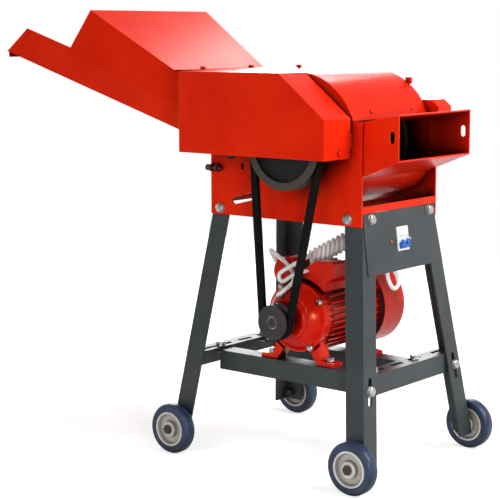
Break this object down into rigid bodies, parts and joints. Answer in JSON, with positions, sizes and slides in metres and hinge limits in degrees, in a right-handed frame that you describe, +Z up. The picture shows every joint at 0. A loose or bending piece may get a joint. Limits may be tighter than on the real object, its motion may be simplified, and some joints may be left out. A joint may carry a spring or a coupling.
{
  "type": "fodder chopper",
  "caption": "Electric fodder chopper: feed trough and hood, gear-driven feed rollers, belt-driven knife drum, discharge chute and motor on a wheeled angle-iron stand.",
  "frame": {"origin": "centre of the object's footprint box on the floor", "axes": "+X towards the discharge chute, -X towards the feed trough, -Y the belt side, +Y the gear side, +Z up"},
  "size_m": [0.9423, 0.4384, 0.8623],
  "materials": {
    "red_paint": "gloss powder coat",
    "grey_paint": "satin powder coat",
    "breaker_case": "moulded, satin",
    "blue_plastic": "moulded",
    "cast_iron": "dark, as cast and machined",
    "tool_steel": "ground",
    "motor_pulley_iron": "dark, machined face",
    "belt_rubber": "fabric-wrapped rubber",
    "fan_plastic": "moulded",
    "zinc_steel": "zinc plated",
    "navy_rubber": "solid rubber, satin",
    "white_cord": "soft sheath"
  },
  "bodies": {
    "frame": {"side_plate_near": "red_paint", "side_plate_far": "red_paint", "front_strip": "red_paint", "top_plate": "red_paint", "drum_cover": "red_paint", "drum_pan": "red_paint", "discharge_chute": "red_paint", "feed_trough": "red_paint", "feed_hood": "red_paint", "belt_guard": "red_paint", "gear_cover": "red_paint", "leg_rear_near": "grey_paint", "leg_rear_far": "grey_paint", "leg_front_near": "grey_paint", "leg_front_far": "grey_paint", "cross_beam_rear": "grey_paint", "cross_beam_front": "grey_paint", "motor_rail_near": "grey_paint", "motor_rail_far": "grey_paint", "switch_panel": "grey_paint", "breaker_body": "breaker_case", "bearing_housings": "cast_iron", "bed_knife": "tool_steel", "idler_stud": "tool_steel", "pressure_springs": "tool_steel", "v_belt": "belt_rubber", "motor_frame": "red_paint", "motor_front_bell": "red_paint", "motor_rear_bell": "red_paint", "fan_cowl": "red_paint", "terminal_box": "red_paint", "capacitor_cover": "red_paint", "wheel_axles": "zinc_steel", "frame_bolts": "zinc_steel", "motor_bolts": "zinc_steel", "cord_coil": "white_cord", "supply_lead": "white_cord", "motor_lead": "white_cord"},
    "rotor": {"rotor_shaft": "tool_steel", "rotor_discs": "cast_iron", "rotor_knives": "tool_steel", "large_pulley": "cast_iron"},
    "motor_rotor": {"motor_shaft": "tool_steel", "motor_pulley": "motor_pulley_iron", "motor_fan": "fan_plastic"},
    "idler": {"idler_gears": "cast_iron"},
    "lower_feed": {"lower_roller": "cast_iron", "lower_roller_gears": "cast_iron"},
    "upper_carrier": {"upper_bearing_blocks": "cast_iron"},
    "upper_feed": {"upper_roller": "cast_iron", "upper_roller_gear": "cast_iron"},
    "toggle": {"breaker_toggle": "blue_plastic"},
    "wheel_rear_near": {"rim_rear_near": "zinc_steel", "tyre_rear_near": "navy_rubber"},
    "wheel_rear_far": {"rim_rear_far": "zinc_steel", "tyre_rear_far": "navy_rubber"},
    "wheel_front_near": {"rim_front_near": "zinc_steel", "tyre_front_near": "navy_rubber"},
    "wheel_front_far": {"rim_front_far": "zinc_steel", "tyre_front_far": "navy_rubber"}
  },
  "joints": [
    {"name": "rotor_spin", "type": "hinge", "parent": "frame", "child": "rotor", "pos_m": [0.24927, 0, 0.613], "axis": [0, 1, 0], "continuous": true},
    {"name": "motor_spin", "type": "hinge", "parent": "frame", "child": "motor_rotor", "pos_m": [0.22527, 0, 0.286], "axis": [0, 1, 0], "continuous": true},
    {"name": "idler_spin", "type": "hinge", "parent": "frame", "child": "idler", "pos_m": [0.15177, 0.153, 0.61335], "axis": [0, 1, 0], "continuous": true},
    {"name": "lower_feed_spin", "type": "hinge", "parent": "frame", "child": "lower_feed", "pos_m": [0.07727, 0, 0.592], "axis": [0, 1, 0], "continuous": true},
    {"name": "upper_lift", "type": "slide", "parent": "frame", "child": "upper_carrier", "axis": [0, 0, 1], "range_m": [0, 0.006], "stiffness_N_per_m": 12000, "springref_m": -0.01, "deforming": ["pressure_springs"]},
    {"name": "upper_feed_spin", "type": "hinge", "parent": "upper_carrier", "child": "upper_feed", "pos_m": [0.07727, 0, 0.656], "axis": [0, 1, 0], "continuous": true},
    {"name": "breaker_toggle_turn", "type": "hinge", "parent": "frame", "child": "toggle", "pos_m": [0.39393, 0, 0.4332], "axis": [0, 1, 0], "range_deg": [-45, 0]},
    {"name": "wheel_rear_near_spin", "type": "hinge", "parent": "frame", "child": "wheel_rear_near", "pos_m": [-0.00973, -0.19944, 0.049], "axis": [0, 1, 0], "continuous": true},
    {"name": "wheel_rear_far_spin", "type": "hinge", "parent": "frame", "child": "wheel_rear_far", "pos_m": [-0.00973, 0.19944, 0.049], "axis": [0, 1, 0], "continuous": true},
    {"name": "wheel_front_near_spin", "type": "hinge", "parent": "frame", "child": "wheel_front_near", "pos_m": [0.42177, -0.19944, 0.049], "axis": [0, 1, 0], "continuous": true},
    {"name": "wheel_front_far_spin", "type": "hinge", "parent": "frame", "child": "wheel_front_far", "pos_m": [0.42177, 0.19944, 0.049], "axis": [0, 1, 0], "continuous": true}
  ],
  "couplings": [
    {"joint": "motor_spin", "follows": "rotor_spin", "ratio": 2.5161},
    {"joint": "idler_spin", "follows": "rotor_spin", "ratio": -0.21875},
    {"joint": "lower_feed_spin", "follows": "rotor_spin", "ratio": 0.063802},
    {"joint": "upper_feed_spin", "follows": "rotor_spin", "ratio": -0.063802}
  ]
}
